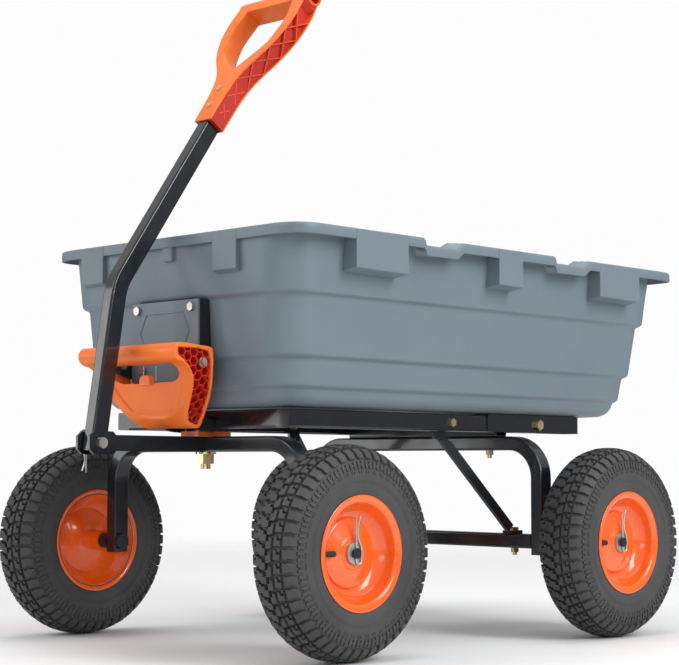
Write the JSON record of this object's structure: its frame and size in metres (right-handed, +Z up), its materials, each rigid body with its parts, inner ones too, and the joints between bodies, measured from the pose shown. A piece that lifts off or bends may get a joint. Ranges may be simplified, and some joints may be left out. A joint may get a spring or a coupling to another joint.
{
  "type": "garden dump cart",
  "caption": "Four-wheeled garden dump cart: tipping poly tub with a pull latch on a steel frame, steering front axle and a pull handle with a D-grip.",
  "frame": {"origin": "on the ground, at the centre of the bounding box seen from above", "axes": "+Z up, -Y is the front with the pull handle, +X is the cart's left side, wheels turn about X"},
  "size_m": [0.812, 1.191, 1.1171],
  "materials": {
    "tyre_rubber": "charcoal tyre rubber, matt",
    "rim_orange": "gloss orange powder coat",
    "hub_steel": "gloss orange powder coat",
    "valve_rubber": "black rubber",
    "zinc_hardware": "yellow zinc plate",
    "tub_poly": "slate grey moulded poly, satin",
    "orange_plastic": "orange moulded plastic, satin",
    "black_steel": "gloss black powder coat"
  },
  "bodies": {
    "chassis": {"axle_hairpin_rl": "zinc_hardware", "axle_hairpin_rr": "zinc_hardware", "axle_washer_rl": "zinc_hardware", "axle_washer_rr": "zinc_hardware", "brace_l": "black_steel", "brace_r": "black_steel", "frame_bolts": "zinc_hardware", "front_cross_tube": "black_steel", "king_bolt": "zinc_hardware", "king_nut": "zinc_hardware", "rail_l": "black_steel", "rail_r": "black_steel", "rear_cross_tube": "black_steel", "rear_lower_tube": "black_steel", "rear_stub_axle_l": "black_steel", "rear_stub_axle_r": "black_steel", "rear_u_frame": "black_steel"},
    "front_axle": {"front_u_frame": "black_steel", "tongue": "black_steel", "bearing_pad": "orange_plastic", "front_stub_axle_l": "black_steel", "front_stub_axle_r": "black_steel", "handle_pin": "zinc_hardware", "handle_hairpin": "zinc_hardware", "axle_washer_fl": "zinc_hardware", "axle_washer_fr": "zinc_hardware", "axle_hairpin_fl": "zinc_hardware", "axle_hairpin_fr": "zinc_hardware"},
    "handle": {"pull_handle": "black_steel", "d_grip": "orange_plastic", "grip_screws": "zinc_hardware"},
    "wheel_fl": {"tyre_fl": "tyre_rubber", "rim_fl": "rim_orange", "hub_fl": "hub_steel", "valve_fl": "valve_rubber"},
    "wheel_fr": {"tyre_fr": "tyre_rubber", "rim_fr": "rim_orange", "hub_fr": "hub_steel", "valve_fr": "valve_rubber"},
    "wheel_rl": {"tyre_rl": "tyre_rubber", "rim_rl": "rim_orange", "hub_rl": "hub_steel", "valve_rl": "valve_rubber"},
    "wheel_rr": {"tyre_rr": "tyre_rubber", "rim_rr": "rim_orange", "hub_rr": "hub_steel", "valve_rr": "valve_rubber"},
    "tub": {"tub": "tub_poly", "tub_channel_l": "black_steel", "tub_channel_r": "black_steel", "latch_bracket": "black_steel", "latch_cover": "tub_poly", "tub_bolts": "zinc_hardware", "latch_pin": "zinc_hardware"},
    "latch": {"latch_handle": "orange_plastic", "latch_hook": "black_steel"}
  },
  "joints": [
    {"name": "steer", "type": "hinge", "parent": "chassis", "child": "front_axle", "pos_m": [0, -0.341, 0.331], "axis": [0, 0, 1], "range_deg": [-20, 20]},
    {"name": "handle_tilt", "type": "hinge", "parent": "front_axle", "child": "handle", "pos_m": [0, -0.572, 0.331], "axis": [1, 0, 0], "range_deg": [0, 112]},
    {"name": "spin_fl", "type": "hinge", "parent": "front_axle", "child": "wheel_fl", "pos_m": [0.32, -0.345, 0.165], "axis": [1, 0, 0], "continuous": true},
    {"name": "spin_fr", "type": "hinge", "parent": "front_axle", "child": "wheel_fr", "pos_m": [-0.32, -0.345, 0.165], "axis": [1, 0, 0], "continuous": true},
    {"name": "spin_rl", "type": "hinge", "parent": "chassis", "child": "wheel_rl", "pos_m": [0.361, 0.288, 0.165], "axis": [1, 0, 0], "continuous": true},
    {"name": "spin_rr", "type": "hinge", "parent": "chassis", "child": "wheel_rr", "pos_m": [-0.361, 0.288, 0.165], "axis": [1, 0, 0], "continuous": true},
    {"name": "tub_tilt", "type": "hinge", "parent": "chassis", "child": "tub", "pos_m": [0, 0.274, 0.3715], "axis": [-1, 0, 0], "range_deg": [0, 9]},
    {"name": "latch_pull", "type": "hinge", "parent": "tub", "child": "latch", "pos_m": [0, -0.451, 0.458], "axis": [-1, 0, 0], "range_deg": [0, 20], "stiffness_Nm_per_rad": 1, "springref_deg": -17.19}
  ]
}
